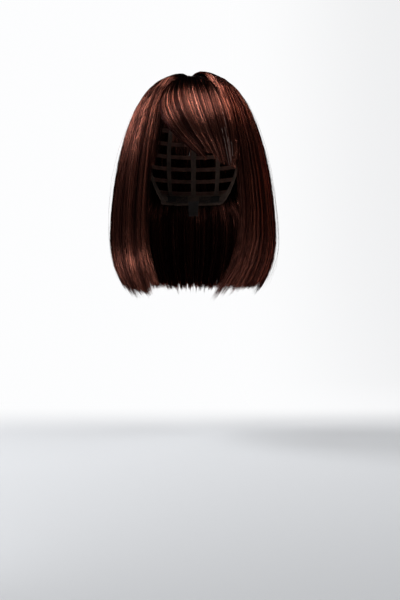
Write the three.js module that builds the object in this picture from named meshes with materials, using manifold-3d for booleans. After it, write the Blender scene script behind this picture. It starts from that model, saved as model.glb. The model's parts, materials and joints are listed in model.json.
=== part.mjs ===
// Costume wig: a chin-length bob with a side-swept fringe on a machine-made cap.
// Millimetres, +Z up. The wearer faces -Y and the wearer's left is +X. The origin is the centre of
// the head at the level where the cap is widest. "turn" is an angle in degrees round the head from
// the front towards the named side, "lift" an angle above that level, and "out" a distance from the
// scalp, so pieces that lie on each other take neighbouring ranges of "out".
import * as THREE from "three";
import { mergeVertices } from "three/addons/utils/BufferGeometryUtils.js";
import Module from "manifold-3d";

const wasm = await Module();
wasm.setup();

// ---- Driving dimensions -----------------------------------------------------------------------

// The scalp that the cap fits, an egg with its own heights above and below the widest level.
const SCALP = { halfWidth: 76, halfLength: 97, crown: 105, nape: 150 };

const GAP = 0.3; // between two pieces that are sewn or laid on each other
const SEAM_GAP = 0.6; // between two sections of hair side by side
const LAYER_GAP = 0.8; // between an outer layer of hair and the layer under it

// Cap fabrics, from the scalp outwards.
const FABRIC = 1.0;
const RIB_THICKNESS = 0.8;
const WEFT_THICKNESS = 1.2;
const SKIN_THICKNESS = 0.6;
const BAND_WIDTH = 16;
const CROWN_EDGE = 72; // height of the crown cap's lower edge
const LAP = 8; // how far a rib is sewn onto the piece at each of its ends
const RIB_WIDTH = 8;
const WEFT_WIDTH = 6;
const WEFT_TOP = 62; // height of the highest weft
const WEFT_STEP = 19; // from one weft to the next
const WEFT_COUNT = 7;
const WEFT_START = 72; // turn at which the upper wefts start
const PANEL_END = 78; // turn at which the closed front panel ends
const FRONT_END = 52; // turn at which the forehead band ends
const SIDE_END = 132; // turn at which a side band ends
const RIB_TURNS = [90, 120, 150]; // on each side, with one more rib at the centre back
const SKIN = { width: 12, before: 4, behind: 10 }; // the parting's film, and how far it runs past

// Height of the cap's lower edge: a hairline, a fall behind the ears and a nape.
const HAIRLINE = 38;
const EAR_LEVEL = 0;
const NAPE_LEVEL = -72;

// Ear tabs, with a springy stay on the inside of each.
const TAB_TURNS = [55, 77];
const TAB_LENGTH = 38;
const TAB_TAPER = 0.45; // share of its width that a tab loses at its end
const TAB_ROUNDING = 0.16; // share of its length by which its corners are cut back
const STAY = { width: 2.4, thickness: 0.5, length: 28, below: 5 };

// Nape adjusters: an elastic that ends in hook tape, over loop tape on the nape band.
const LOOP_TAPE = { turns: [141, 172], width: 10, thickness: 0.8 };
const HOOK_TAPE = { turns: [143, 156], width: 9, thickness: 0.8, gap: 0.7 };
const ELASTIC_START = 124;
const ELASTIC_WIDTH = 7;

// Snap combs.
const COMB = {
  length: 34,
  bar: 3.4,
  sheet: 0.6,
  teeth: 9,
  tooth: { length: 15, width: 1.3, tip: 1.2 },
  eyelet: 0.6, // radius
  lug: { width: 3, height: 4.6, rise: 2.4 },
  spine: 0.6, // radius
  grip: { inner: 0.95, outer: 1.45, length: 25 },
  lap: 0.5, // by which a tooth or lug runs into its bar
  tilt: 9, // degrees that the teeth lean in from the cap
  clearance: 0.6, // from the cap, whose inner face is made of short flats
};
const TEMPLE_COMB = { turn: 36, above: 10 }; // over the hairline
const BACK_COMB_ABOVE = 5; // over the crown cap's edge

// The blank care label, which hangs from the nape band.
const LABEL = { width: 16, length: 24, thickness: 0.5, lap: 6 };

// Hair. The parting runs front to back, and locks fall from it to a hem.
const PART = { x: -3, front: -22, back: 18, whorl: 8, gap: 1.6, dip: 4.5, dipReach: 13 };
const ROOT_HEIGHT = 8.7; // of the hair's surface over the scalp at the parting
const LEFT_RISE = 3; // the fuller side stands this much higher
const HALF_WIDTH = 124.5; // of the bob where it is widest
const FRONT_REACH = 102.7;
const BACK_REACH = 126;
const WIDEST_Z = -126;
const SPLIT_Z = 5; // under this height the hair hangs free
const HEM_Z = -212;
const BACK_HEM_RISE = 8;
const FRONT_TURN = 28.8; // turn of the hair's edge beside the face
const PART_END_TURN = 110; // locks beyond this turn start at the whorl behind the parting
const SIDE_SEAM = 128; // turn of the seam between side hair and back hair
const DOME = { power: 1.6, side: 0.32, front: 0.28 };
const HEM_TUCK = 0.217; // share of its reach by which the hem turns in
const NAPE_TUCK = 0.13; // and more of it at the nape
const FACE_SWEEP = 17; // how far the left side's front lock curves in at its hem
const CROWN_DEPTH = { root: 6.5, front: 7, side: 13 };
const CURTAIN_DEPTH = 24;
const WHOLE_DEPTH_TURN = 74; // turn from which the crown hair has its whole side depth
const OUTER_SHARE = 0.45; // of a curtain's depth that the outer layer takes
const UNDER_TURN = 54; // turn at which the under layer starts
const SCALP_CLEARANCE = 5.4; // of hair that hangs past the cap

// The fringe, a fan from the front of the parting to the brow.
const FRINGE = {
  outer: 12,
  rootInner: 2.4,
  hemInner: 4.6,
  rootLift: 74,
  highLift: 18, // where its lower edge leaves the hair on the right
  fall: 26, // how far that edge comes down as it crosses the brow
  across: 0.66, // share of the width that it takes to come down
  lastFall: 2.5,
};

// ---- Numbers and curves -----------------------------------------------------------------------

const radians = THREE.MathUtils.degToRad;
const mix = THREE.MathUtils.lerp;
const clamp = THREE.MathUtils.clamp;
const smooth = (x) => THREE.MathUtils.smoothstep(x, 0, 1);

// A point at a distance out from the scalp.
function overScalp(turn, lift, out) {
  const t = radians(turn);
  const l = radians(lift);
  const height = (lift < 0 ? SCALP.nape : SCALP.crown) + out;
  return [
    (SCALP.halfWidth + out) * Math.cos(l) * Math.sin(t),
    -(SCALP.halfLength + out) * Math.cos(l) * Math.cos(t),
    height * Math.sin(l),
  ];
}

// The lift at which the scalp reaches a height.
function liftAt(z) {
  return THREE.MathUtils.radToDeg(Math.asin(z / (z < 0 ? SCALP.nape : SCALP.crown)));
}

// Height of the cap's lower edge at a turn from 0 at the front to 180 at the back.
function capEdge(turn) {
  const temple = smooth((Math.abs(turn) - 45) / 45);
  const behindEar = smooth((Math.abs(turn) - 100) / 40);
  return mix(HAIRLINE, EAR_LEVEL, temple) + NAPE_LEVEL * behindEar;
}

// Degrees of turn that span a length at a turn and height, on the scalp.
function degreesFor(length, turn, z) {
  const [x0, y0] = overScalp(turn, liftAt(z), 0);
  const [x1, y1] = overScalp(turn + 1, liftAt(z), 0);
  return length / Math.hypot(x1 - x0, y1 - y0);
}

// ---- Solids -----------------------------------------------------------------------------------

// Turns a geometry's faces round if they point inwards.
function facingOut(geometry) {
  const p = geometry.attributes.position;
  const index = geometry.index.array;
  const corner = [0, 1, 2].map(() => new THREE.Vector3());
  let volume = 0;
  for (let i = 0; i < index.length; i += 3) {
    corner.forEach((c, k) => c.fromBufferAttribute(p, index[i + k]));
    volume += corner[0].dot(corner[1].cross(corner[2]));
  }
  if (volume < 0) index.reverse();
  return geometry;
}

// A closed slab: a box of cells whose points are carried to place(u, v, w), each from 0 to 1.
function slab(place, cellsU, cellsV) {
  const geometry = new THREE.BoxGeometry(1, 1, 1, cellsU, cellsV, 1);
  const p = geometry.attributes.position;
  for (let i = 0; i < p.count; i++) {
    p.setXYZ(i, ...place(p.getX(i) + 0.5, p.getY(i) + 0.5, p.getZ(i) + 0.5));
  }
  return facingOut(geometry);
}

// A slab that lies on the scalp between two turns. low and high give its edges' heights at a turn.
function patch({ turns, low, high, out, cells }) {
  return slab(
    (u, v, w) => {
      const turn = mix(turns[0], turns[1], u);
      const lift = mix(liftAt(low(turn)), liftAt(high(turn)), v);
      return overScalp(turn, lift, mix(out[0], out[1], w));
    },
    cells[0],
    cells[1],
  );
}

function toSolid(geometry) {
  const bare = geometry.clone();
  bare.deleteAttribute("normal");
  bare.deleteAttribute("uv");
  const merged = mergeVertices(bare, 1e-4);
  return new wasm.Manifold(
    new wasm.Mesh({
      numProp: 3,
      vertProperties: new Float32Array(merged.attributes.position.array),
      triVerts: new Uint32Array(merged.index.array),
    }),
  );
}

function fromSolid(solid) {
  const mesh = solid.getMesh();
  return new THREE.BufferGeometry()
    .setAttribute("position", new THREE.BufferAttribute(mesh.vertProperties, 3))
    .setIndex(new THREE.BufferAttribute(mesh.triVerts, 1));
}

function joined(geometries) {
  return fromSolid(geometries.map(toSolid).reduce((a, b) => a.add(b)));
}

function cut(geometry, tools) {
  return fromSolid([geometry, ...tools].map(toSolid).reduce((a, b) => a.subtract(b)));
}

// A box between two corners.
function block(low, high) {
  const size = high.map((h, i) => h - low[i]);
  return new THREE.BoxGeometry(...size).translate(...low.map((l, i) => l + size[i] / 2));
}

// ---- Materials and the scene graph ------------------------------------------------------------

function material(color, roughness, metalness = 0) {
  return new THREE.MeshStandardMaterial({ color, roughness, metalness });
}

const HAIR = material(0x2b1410, 0.42);
const UNDER_HAIR = material(0x1c0e0c, 0.5);
const MESH_FABRIC = material(0x1a1514, 0.9);
const ELASTIC_FABRIC = material(0x201a19, 0.85);
const WEFT_FABRIC = material(0x261512, 0.8);
const SKIN_FILM = material(0x8a6450, 0.6);
const TAPE = material(0x151312, 0.95);
const STEEL = material(0x3a3634, 0.35, 0.9);
const SILICONE = material(0x4a3a34, 0.5);
const SATIN = material(0xd8d2c8, 0.6);

const wig = new THREE.Group();

function add(name, geometry, finish, parent = wig) {
  const mesh = new THREE.Mesh(geometry, finish);
  mesh.name = name;
  parent.add(mesh);
  return mesh;
}

const SIDES = [
  { name: "left", sign: 1 },
  { name: "right", sign: -1 },
];

// ---- The cap ----------------------------------------------------------------------------------

const onScalp = [0, FABRIC];
const ribOut = [FABRIC + GAP, FABRIC + GAP + RIB_THICKNESS];
const weftOut = [ribOut[1] + GAP, ribOut[1] + GAP + WEFT_THICKNESS];
const skinOut = [FABRIC + GAP, FABRIC + GAP + SKIN_THICKNESS];
const bandTop = (turn) => capEdge(turn) + BAND_WIDTH;

// The closed dome, a lathed shell drawn out to the head's length.
function crownCap() {
  const rows = 6;
  const low = liftAt(CROWN_EDGE);
  const arc = (out) =>
    Array.from({ length: rows + 1 }, (_, i) => {
      const lift = radians(mix(90, low, i / rows));
      const height = (SCALP.crown + out) * Math.sin(lift);
      return new THREE.Vector2(i === 0 ? 0 : (SCALP.halfWidth + out) * Math.cos(lift), height);
    });
  const profile = [...arc(onScalp[0]), ...arc(onScalp[1]).reverse()];
  const shell = new THREE.LatheGeometry(profile, 40);
  shell.rotateX(Math.PI / 2).scale(1, SCALP.halfLength / SCALP.halfWidth, 1);
  return facingOut(shell);
}

function frontPanel() {
  return patch({
    turns: [-PANEL_END, PANEL_END],
    low: (turn) => bandTop(turn) + GAP,
    high: () => CROWN_EDGE - GAP,
    out: onScalp,
    cells: [28, 3],
  });
}

function band(turns, cells) {
  return patch({ turns, low: capEdge, high: bandTop, out: onScalp, cells: [cells, 2] });
}

function rib(turn) {
  const half = degreesFor(RIB_WIDTH / 2, turn, EAR_LEVEL);
  return patch({
    turns: [turn - half, turn + half],
    low: () => bandTop(turn) - LAP,
    high: () => CROWN_EDGE + LAP,
    out: ribOut,
    cells: [2, 14],
  });
}

// A weft starts behind the face, or where the cap's edge has dropped clear of it.
function weft(z) {
  let start = WEFT_START;
  while (capEdge(start) > z - WEFT_WIDTH) start += 1;
  return patch({
    turns: [start, 360 - start],
    low: () => z - WEFT_WIDTH / 2,
    high: () => z + WEFT_WIDTH / 2,
    out: weftOut,
    cells: [34, 1],
  });
}

// The strip of skin-coloured film under the parting, laid over the dome.
function partingSkin() {
  const ends = [PART.front - SKIN.before, PART.back + SKIN.behind];
  return slab(
    (u, v, w) => {
      const out = mix(skinOut[0], skinOut[1], w);
      const x = PART.x + SKIN.width * (u - 0.5);
      const y = mix(ends[0], ends[1], v);
      const flat = (x / (SCALP.halfWidth + out)) ** 2 + (y / (SCALP.halfLength + out)) ** 2;
      return [x, y, (SCALP.crown + out) * Math.sqrt(1 - flat)];
    },
    4,
    10,
  );
}

function addCap() {
  add("crown_cap", crownCap(), MESH_FABRIC);
  add("parting_skin", partingSkin(), SKIN_FILM);
  add("front_panel", frontPanel(), MESH_FABRIC);

  const [front, side] = [FRONT_END, SIDE_END];
  const [atFront, atSide] = [front, side].map((turn) => degreesFor(GAP / 2, turn, capEdge(turn)));
  add("forehead_band", band([-front + atFront, front - atFront], 18), ELASTIC_FABRIC);
  add("nape_band", band([side + atSide, 360 - side - atSide], 18), ELASTIC_FABRIC);
  for (const { name, sign } of SIDES) {
    const turns = [front + atFront, side - atSide].map((turn) => turn * sign);
    add(`side_band_${name}`, band(turns, 16), ELASTIC_FABRIC);
    RIB_TURNS.forEach((turn, i) => add(`rib_${name}_${i + 1}`, rib(turn * sign), ELASTIC_FABRIC));
  }
  add("rib_centre", rib(180), ELASTIC_FABRIC);
  for (let i = 0; i < WEFT_COUNT; i++) {
    add(`weft_${i + 1}`, weft(WEFT_TOP - i * WEFT_STEP), WEFT_FABRIC);
  }
}

// ---- Ear tabs ---------------------------------------------------------------------------------

function earTab(sign) {
  const middle = (TAB_TURNS[0] + TAB_TURNS[1]) / 2;
  const half = (TAB_TURNS[1] - TAB_TURNS[0]) / 2;
  return slab(
    (u, v, w) => {
      const narrowing = 1 - TAB_TAPER * v ** 3;
      const turn = middle + half * (2 * u - 1) * narrowing;
      const top = capEdge(turn) - 2 * GAP;
      const rounded = 1 - TAB_ROUNDING * (2 * u - 1) ** 2 * v;
      const z = mix(top, capEdge(middle) - TAB_LENGTH, v * rounded);
      return overScalp(turn * sign, liftAt(z), mix(onScalp[0], onScalp[1], w));
    },
    6,
    6,
  );
}

function earStay(sign) {
  const turn = (TAB_TURNS[0] + TAB_TURNS[1]) / 2;
  const top = capEdge(turn) - STAY.below;
  const half = degreesFor(STAY.width / 2, turn, top);
  return patch({
    turns: [(turn - half) * sign, (turn + half) * sign],
    low: () => top - STAY.length,
    high: () => top,
    out: [-GAP - STAY.thickness, -GAP],
    cells: [1, 6],
  });
}

function addEarTabs() {
  for (const { name, sign } of SIDES) {
    add(`ear_tab_${name}`, earTab(sign), ELASTIC_FABRIC);
    add(`ear_stay_${name}`, earStay(sign), STEEL);
  }
}

// ---- Nape adjusters and label -----------------------------------------------------------------

// A strip inside the band, centred on the band's width.
function insideBand({ turns, width, out, cells, sign }) {
  const middle = (turn) => capEdge(turn) + BAND_WIDTH / 2;
  return patch({
    turns: turns.map((turn) => turn * sign),
    low: (turn) => middle(turn) - width / 2,
    high: (turn) => middle(turn) + width / 2,
    out,
    cells: [cells, 1],
  });
}

function addAdjusters() {
  const loopOut = [-GAP - LOOP_TAPE.thickness, -GAP];
  const hookFace = loopOut[0] - HOOK_TAPE.gap;
  const hookOut = [hookFace - HOOK_TAPE.thickness, hookFace];
  const seam = degreesFor(GAP, HOOK_TAPE.turns[0], NAPE_LEVEL);
  for (const { name, sign } of SIDES) {
    const strip = (turns, width, out, cells) =>
      insideBand({ turns, width, out, cells, sign });
    const elasticTurns = [ELASTIC_START, HOOK_TAPE.turns[0] - seam];
    add(`loop_tape_${name}`, strip(LOOP_TAPE.turns, LOOP_TAPE.width, loopOut, 10), TAPE);
    add(`hook_tape_${name}`, strip(HOOK_TAPE.turns, HOOK_TAPE.width, hookOut, 5), TAPE);
    // The elastic starts on the side band, where no loop tape lies under it.
    const elastic = slab(
      (u, v, w) => {
        const turn = mix(elasticTurns[0], elasticTurns[1], u);
        const z = capEdge(turn) + BAND_WIDTH / 2 + ELASTIC_WIDTH * (v - 0.5);
        const low = mix(-GAP - HOOK_TAPE.thickness, hookOut[0], smooth(u * 1.6));
        return overScalp(turn * sign, liftAt(z), low + HOOK_TAPE.thickness * w);
      },
      8,
      1,
    );
    add(`adjuster_elastic_${name}`, elastic, ELASTIC_FABRIC);
  }
}

function addLabel() {
  const half = degreesFor(LABEL.width / 2, 180, NAPE_LEVEL);
  const top = NAPE_LEVEL + LABEL.lap;
  const label = patch({
    turns: [180 - half, 180 + half],
    low: () => top - LABEL.length,
    high: () => top,
    out: [-GAP - LABEL.thickness, -GAP],
    cells: [6, 6],
  });
  add("care_label", label, SATIN);
}

// ---- Snap combs -------------------------------------------------------------------------------

// In a comb's own frame X runs along its bar, Y up its teeth and Z out to the cap.
function combBase() {
  const half = COMB.length / 2;
  const { width, height, rise } = COMB.lug;
  const plate = block([-half, 0, -COMB.sheet], [half, COMB.bar, 0]);
  const lugs = [-1, 1].map((end) => {
    const outer = end * half;
    const inner = outer - end * width;
    const xs = [Math.min(outer, inner), Math.max(outer, inner)];
    return block([xs[0], -height, -COMB.sheet], [xs[1], COMB.lap, 0]);
  });
  const spine = new THREE.CylinderGeometry(COMB.spine, COMB.spine, COMB.length - width, 12)
    .rotateZ(Math.PI / 2)
    .translate(0, -rise, -COMB.sheet / 2);
  const eyelets = [-1, 1].map((end) =>
    new THREE.CylinderGeometry(COMB.eyelet, COMB.eyelet, 4 * COMB.sheet, 12)
      .rotateX(Math.PI / 2)
      .translate(end * (half - width / 2), COMB.bar / 2, 0),
  );
  return cut(joined([plate, ...lugs, spine]), eyelets);
}

function combTeeth() {
  const half = COMB.length / 2;
  const face = -COMB.sheet - GAP;
  const bar = block([-half, 0, face - COMB.sheet], [half, COMB.bar, face]);
  const pitch = (COMB.length - COMB.tooth.width) / (COMB.teeth - 1);
  const teeth = Array.from({ length: COMB.teeth }, (_, i) => {
    const x = -half + i * pitch;
    const root = COMB.bar - COMB.lap;
    const points = [
      [x, root],
      [x + COMB.tooth.width, root],
      [x + COMB.tooth.width, root + COMB.tooth.length],
      [x + COMB.tooth.width / 2, root + COMB.tooth.length + COMB.tooth.tip],
      [x, root + COMB.tooth.length],
    ];
    const outline = new THREE.Shape(points.map((p) => new THREE.Vector2(...p)));
    const tooth = new THREE.ExtrudeGeometry(outline, { depth: COMB.sheet, bevelEnabled: false });
    return tooth.translate(0, 0, face - COMB.sheet);
  });
  return joined([bar, ...teeth.map((tooth) => mergeVertices(bareOf(tooth)))]);
}

// A geometry with nothing but its positions.
function bareOf(geometry) {
  geometry.deleteAttribute("normal");
  geometry.deleteAttribute("uv");
  return geometry;
}

// The soft sleeve on the spine.
function combGrip() {
  const { inner, outer, length } = COMB.grip;
  const ring = [
    [inner, -length / 2],
    [outer, -length / 2],
    [outer, length / 2],
    [inner, length / 2],
    [inner, -length / 2],
  ];
  return new THREE.LatheGeometry(ring.map((p) => new THREE.Vector2(...p)), 12)
    .rotateZ(Math.PI / 2)
    .translate(0, -COMB.lug.rise, -COMB.sheet / 2);
}

// How deep a point lies under the scalp, about.
function depthUnderScalp(point) {
  const axes = [SCALP.halfWidth, SCALP.halfLength, point.z < 0 ? SCALP.nape : SCALP.crown];
  const shares = point.toArray().map((value, i) => value / axes[i]);
  const level = Math.hypot(...shares);
  return (1 - level ** 2) / 2 / Math.hypot(...shares.map((share, i) => share / axes[i]));
}

// A comb is flat and the cap is hollow, so the comb sits in until its corners clear the cap.
function combFrame(turn, z) {
  const at = (t, height) => new THREE.Vector3(...overScalp(t, liftAt(height), 0));
  const half = degreesFor(COMB.length / 2, turn, z);
  const along = at(turn + half, z).sub(at(turn - half, z)).normalize();
  const up = at(turn, z + COMB.tooth.length).sub(at(turn, z)).normalize();
  const outward = new THREE.Vector3().crossVectors(along, up).normalize();
  const frame = new THREE.Group();
  frame.quaternion.setFromRotationMatrix(
    new THREE.Matrix4().makeBasis(along, up.crossVectors(outward, along), outward),
  );
  frame.rotateX(radians(-COMB.tilt));
  frame.position.copy(at(turn, z));
  frame.updateMatrix();
  const corners = [-1, 1].flatMap((end) =>
    [-COMB.lug.height, 0, COMB.bar].map((y) => new THREE.Vector3((end * COMB.length) / 2, y, 0)),
  );
  const depths = corners.map((corner) => depthUnderScalp(corner.applyMatrix4(frame.matrix)));
  frame.translateZ(Math.min(...depths) - COMB.clearance);
  wig.add(frame);
  return frame;
}

function addComb(name, turn, z) {
  const frame = combFrame(turn, z);
  add(`comb_base_${name}`, combBase(), STEEL, frame);
  add(`comb_teeth_${name}`, combTeeth(), STEEL, frame);
  add(`comb_grip_${name}`, combGrip(), SILICONE, frame);
}

function addCombs() {
  for (const { name, sign } of SIDES) {
    addComb(name, sign * TEMPLE_COMB.turn, HAIRLINE + TEMPLE_COMB.above);
  }
  addComb("back", 180, CROWN_EDGE + BACK_COMB_ABOVE);
}

// ---- Hair -------------------------------------------------------------------------------------

// In plan, the place on the parting where a lock starts and how it runs from there.
function lockPlan(sign, turn) {
  const towardsCrown = smooth((turn - FRONT_TURN) / (PART_END_TURN - FRONT_TURN));
  const atWhorl = clamp((turn - PART_END_TURN) / (180 - PART_END_TURN), 0, 1);
  const root = new THREE.Vector2(
    PART.x + (sign * PART.gap) / 2,
    mix(PART.front, PART.back, towardsCrown) + PART.whorl * atWhorl,
  );
  const reach = turn < 90 ? FRONT_REACH : BACK_REACH;
  const widest = new THREE.Vector2(
    sign * (HALF_WIDTH * Math.sin(radians(turn)) + SEAM_GAP / 2),
    -reach * Math.cos(radians(turn)),
  );
  const run = widest.sub(root);
  const length = run.length();
  return { root, way: run.divideScalar(length), length, top: rootTop(sign, turn, root.y) };
}

// Height of the hair's surface where a lock starts.
function rootTop(sign, turn, y) {
  const rise = sign > 0 ? LEFT_RISE * clamp((180 - turn) / 30, 0, 1) : 0;
  const over = ROOT_HEIGHT + rise;
  return (SCALP.crown + over) * Math.sqrt(1 - (y / (SCALP.halfLength + over)) ** 2);
}

// How far a lock has run in plan when it has fallen to a height, as a share of its widest reach.
function reachAt(z, turn, top) {
  const fallen = clamp((top - z) / (top - WIDEST_Z), 0, 1);
  const root = mix(DOME.front, DOME.side, smooth((turn - FRONT_TURN) / 30));
  const dome = (1 - (1 - fallen) ** DOME.power) ** root;
  const under = clamp((WIDEST_Z - z) / (WIDEST_Z - HEM_Z), 0, 1.2);
  const hanging = clamp((SPLIT_Z - z) / (SPLIT_Z - HEM_Z), 0, 1.2);
  const nape = NAPE_TUCK * smooth((turn - 120) / 40) * hanging ** 1.2;
  return dome - HEM_TUCK * under ** 2.2 - nape;
}

// Distance in plan from a lock's root to a clearance over the scalp, at a height. It is 0 above
// the scalp.
function scalpReach(plan, z, clearance) {
  const tall = (z < 0 ? SCALP.nape : SCALP.crown) + clearance;
  const ring = 1 - (z / tall) ** 2;
  const { root, way } = plan;
  const a = SCALP.halfWidth + clearance;
  const b = SCALP.halfLength + clearance;
  const qa = (way.x / a) ** 2 + (way.y / b) ** 2;
  const qb = (root.x * way.x) / a ** 2 + (root.y * way.y) / b ** 2;
  const qc = (root.x / a) ** 2 + (root.y / b) ** 2 - ring;
  return qc < 0 ? (-qb + Math.sqrt(qb * qb - qa * qc)) / qa : 0;
}

function atLock(plan, distance, z) {
  return [plan.root.x + plan.way.x * distance, plan.root.y + plan.way.y * distance, z];
}

// Crown hair, from the parting down to where the hair hangs free. Its thickness is measured
// across its surface at the parting, and level at its lower edge.
function crownHair(sign) {
  const fall = (plan, share) => plan.top - (plan.top - SPLIT_Z) * share ** 3;
  const outer = (plan, turn, share) => {
    const z = fall(plan, share);
    return new THREE.Vector2(plan.length * reachAt(z, turn, plan.top), z);
  };
  return slab(
    (u, v, w) => {
      const turn = mix(FRONT_TURN, 180, u);
      const plan = lockPlan(sign, turn);
      const here = outer(plan, turn, v);
      const before = outer(plan, turn, Math.max(v - 0.01, 0));
      const along = outer(plan, turn, v + 0.01).sub(before);
      const inward = new THREE.Vector2(along.y, -along.x).normalize();
      inward.y *= 1 - smooth(v * 1.1);
      const back = smooth((turn - FRONT_TURN) / (WHOLE_DEPTH_TURN - FRONT_TURN));
      const side = mix(CROWN_DEPTH.front, CROWN_DEPTH.side, back);
      const inner = inward.multiplyScalar(mix(CROWN_DEPTH.root, side, v)).add(here);
      inner.x = Math.max(inner.x, scalpReach(plan, inner.y, SCALP_CLEARANCE * smooth(v * 4)));
      const dip = PART.dip * (1 - smooth(here.x / PART.dipReach)) * (1 - w);
      return atLock(plan, mix(here.x, Math.max(inner.x, 0), w), mix(here.y, inner.y, w) - dip);
    },
    22,
    12,
  );
}

// Hair that hangs free between two turns. A turn over 180 is on the right side.
// The outer layer takes a share of the curtain's depth, and the under layer what is left.
function hangingHair({ turns, isUnder, cells }) {
  return slab(
    (u, v, w) => {
      const whole = mix(turns[0], turns[1], u);
      const sign = whole > 180 || whole < 0 ? -1 : 1;
      const turn = whole > 180 ? 360 - whole : Math.abs(whole);
      const plan = lockPlan(sign, turn);
      const hem = HEM_Z + BACK_HEM_RISE * smooth((turn - 90) / 60);
      const z = mix(SPLIT_Z - SEAM_GAP, hem, v);
      const outer = plan.length * reachAt(z, turn, plan.top);
      const depth = Math.min(outer - scalpReach(plan, z, SCALP_CLEARANCE), CURTAIN_DEPTH);
      const seam = depth * OUTER_SHARE;
      const layer = isUnder ? [seam + LAYER_GAP, depth] : [0, seam];
      const [x, y] = atLock(plan, outer - mix(layer[0], layer[1], w), z);
      return [x - faceSweep(sign, turn, z), y, z];
    },
    cells[0],
    cells[1],
  );
}

// The left side's front lock curves in towards the throat.
function faceSweep(sign, turn, z) {
  if (sign < 0) return 0;
  const low = clamp((-100 - z) / (-100 - HEM_Z), 0, 1);
  return FACE_SWEEP * (1 - smooth((turn - FRONT_TURN) / 40)) * low ** 1.6;
}

// The largest turn that keeps the fringe in front of the crown hair's front edge on one side.
function fringeLimit(sign, lift, out) {
  const plan = lockPlan(sign, FRONT_TURN);
  const slope = Math.abs(plan.way.y / plan.way.x);
  const a = (SCALP.halfWidth + out) * Math.cos(radians(lift)) * slope;
  const b = (SCALP.halfLength + out) * Math.cos(radians(lift));
  const line = -plan.root.y - sign * plan.root.x * slope;
  const clear = line + SEAM_GAP * Math.hypot(1, slope);
  const limit = Math.acos(clamp(clear / Math.hypot(a, b), -1, 1)) - Math.atan2(a, b);
  return THREE.MathUtils.radToDeg(limit);
}

// The fringe's lower edge crosses the brow from high on the right to low on the left.
function fringeHem(u) {
  const { highLift, fall, across, lastFall } = FRINGE;
  const last = clamp((u - across) / (1 - across), 0, 1);
  return highLift - fall * smooth(u / across) - lastFall * last ** 2;
}

// Its height follows the crown's curve all the way down, so it has no kink at the widest level.
function fringe() {
  return slab(
    (u, v, w) => {
      const lift = mix(FRINGE.rootLift, fringeHem(u), v);
      const inner = mix(FRINGE.rootInner, FRINGE.hemInner, smooth(v * 2));
      const out = mix(FRINGE.outer, inner, w);
      const turn = mix(-fringeLimit(-1, lift, out), fringeLimit(1, lift, out), u);
      const [x, y] = overScalp(turn, lift, out);
      return [x, y, (SCALP.crown + out) * Math.sin(radians(lift))];
    },
    16,
    10,
  );
}

function addHair() {
  const step = degreesFor(SEAM_GAP / 2, SIDE_SEAM, EAR_LEVEL);
  for (const { name, sign } of SIDES) {
    const turns = (start) => [start * sign, (SIDE_SEAM - step) * sign];
    add(`crown_hair_${name}`, crownHair(sign), HAIR);
    add(
      `side_hair_${name}`,
      hangingHair({ turns: turns(FRONT_TURN), isUnder: false, cells: [14, 10] }),
      HAIR,
    );
    add(
      `side_under_hair_${name}`,
      hangingHair({ turns: turns(UNDER_TURN), isUnder: true, cells: [14, 10] }),
      UNDER_HAIR,
    );
  }
  const turns = [SIDE_SEAM + step, 360 - SIDE_SEAM - step];
  add("back_hair", hangingHair({ turns, isUnder: false, cells: [16, 10] }), HAIR);
  add("back_under_hair", hangingHair({ turns, isUnder: true, cells: [16, 10] }), UNDER_HAIR);
  add("fringe", fringe(), HAIR);
}

addCap();
addEarTabs();
addAdjusters();
addLabel();
addCombs();
addHair();

export default wig;
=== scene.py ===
"""A chin-length bob wig with a side-swept fringe: strand hair over a machine-made cap.

Metres, +Z up. The wearer faces -Y and the wearer's left is +X. A "turn" is an angle in degrees
round the head: 0 at the front, 90 over the left ear, 180 at the back and 270 over the right ear.
"""
import json
import math

import bmesh
import bpy
import numpy as np
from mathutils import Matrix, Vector


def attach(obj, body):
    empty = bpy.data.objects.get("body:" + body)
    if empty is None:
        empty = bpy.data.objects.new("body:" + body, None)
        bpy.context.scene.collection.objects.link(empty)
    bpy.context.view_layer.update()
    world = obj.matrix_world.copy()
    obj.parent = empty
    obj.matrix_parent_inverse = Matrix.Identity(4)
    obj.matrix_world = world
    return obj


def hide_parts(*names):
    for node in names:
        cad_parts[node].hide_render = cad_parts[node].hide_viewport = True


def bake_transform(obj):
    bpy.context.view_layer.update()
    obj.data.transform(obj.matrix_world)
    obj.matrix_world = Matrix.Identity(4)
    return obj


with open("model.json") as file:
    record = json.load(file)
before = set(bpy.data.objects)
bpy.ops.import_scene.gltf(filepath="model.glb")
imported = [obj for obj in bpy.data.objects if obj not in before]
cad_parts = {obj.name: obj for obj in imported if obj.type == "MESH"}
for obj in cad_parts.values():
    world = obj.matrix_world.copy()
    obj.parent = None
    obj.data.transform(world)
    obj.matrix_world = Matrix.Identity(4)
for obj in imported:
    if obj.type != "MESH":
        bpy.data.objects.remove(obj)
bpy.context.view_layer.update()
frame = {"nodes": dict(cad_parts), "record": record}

# ---- Sizes --------------------------------------------------------------------------------------

MM = 0.001

# The scalp that the cap fits: half width, half length, height over and depth under its widest level.
SCALP = np.array([76, 97, 105, 150]) * MM

# The parting, and how the hair falls from it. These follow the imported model's hair.
PART_X, PART_HALF_GAP = -3 * MM, 0.8 * MM
PART_FRONT, PART_BACK, WHORL = -22 * MM, 18 * MM, 8 * MM  # the whorl lies behind the parting
PART_DIP, DIP_REACH = 4.5 * MM, 13 * MM  # how far the hair sinks at the parting, and how far from it
ROOT_HEIGHT, LEFT_RISE = 8.7 * MM, 3 * MM  # over the scalp, and how much more on the left
FRONT_TURN, PART_END_TURN = 28.8, 110  # of the locks at the parting's two ends

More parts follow.
